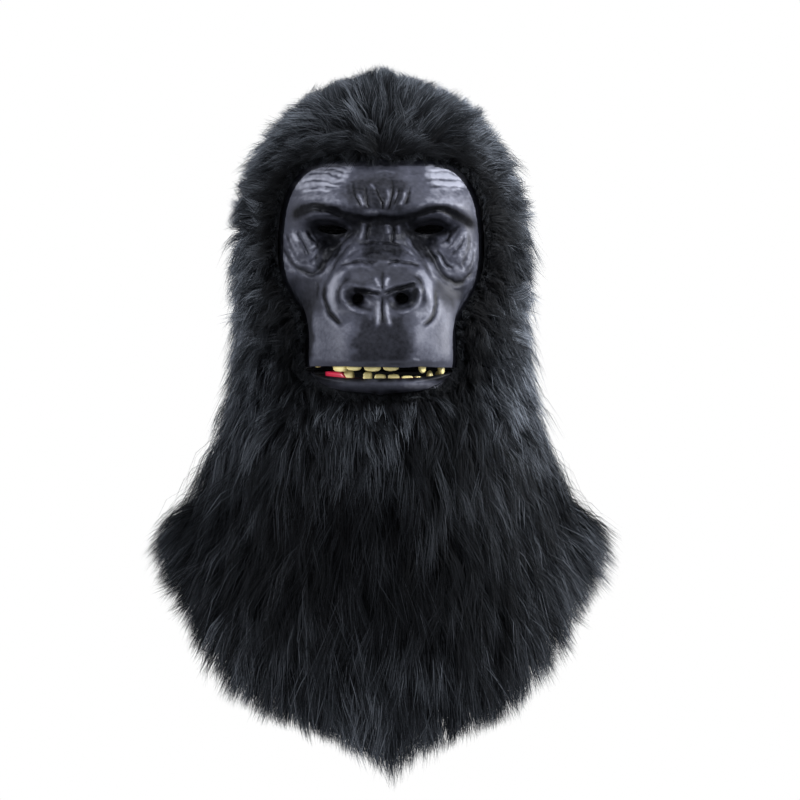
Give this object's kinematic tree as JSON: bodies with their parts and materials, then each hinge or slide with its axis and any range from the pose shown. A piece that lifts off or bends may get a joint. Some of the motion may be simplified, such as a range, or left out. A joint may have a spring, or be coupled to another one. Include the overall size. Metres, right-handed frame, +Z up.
{
  "type": "gorilla mask",
  "caption": "Over-the-head gorilla mask: moulded face in a long-haired plush hood with a shoulder cape and bib.",
  "frame": {"origin": "inner crown of the hood, where the mask rests on top of the wearer's head", "axes": "+Z up, -Y the way the face looks, +X the wearer's left"},
  "size_m": [0.3795, 0.2807, 0.5693],
  "materials": {
    "knit_backing": "knitted backing of a pile cloth, matt",
    "short_plush": "combed plush, blue-black with grey tips",
    "long_plush": "long shaggy plush, black",
    "face_skin": "moulded, slate grey, dry-brushed with lighter grey and washed with black in the creases",
    "gum": "painted dark red, glossy",
    "ivory": "painted ivory, glossy"
  },
  "bodies": {
    "root": {"hood_cloth": "knit_backing", "cape_cloth": "knit_backing", "hood_fur": "short_plush", "cape_fur": "long_plush", "face_shell": "face_skin", "jaw_shell": "face_skin", "upper_gum": "gum", "lower_gum": "gum", "upper_molar_right": "ivory", "upper_canine_right": "ivory", "upper_premolar_right": "ivory", "upper_incisor_right": "ivory", "upper_incisor_left": "ivory", "upper_canine_left": "ivory", "upper_molar_left": "ivory", "lower_canine_right": "ivory", "lower_incisor_1": "ivory", "lower_incisor_2": "ivory", "lower_incisor_3": "ivory", "lower_incisor_4": "ivory", "lower_premolar_left": "ivory", "lower_canine_left": "ivory", "lower_molar_left": "ivory"}
  },
  "joints": []
}
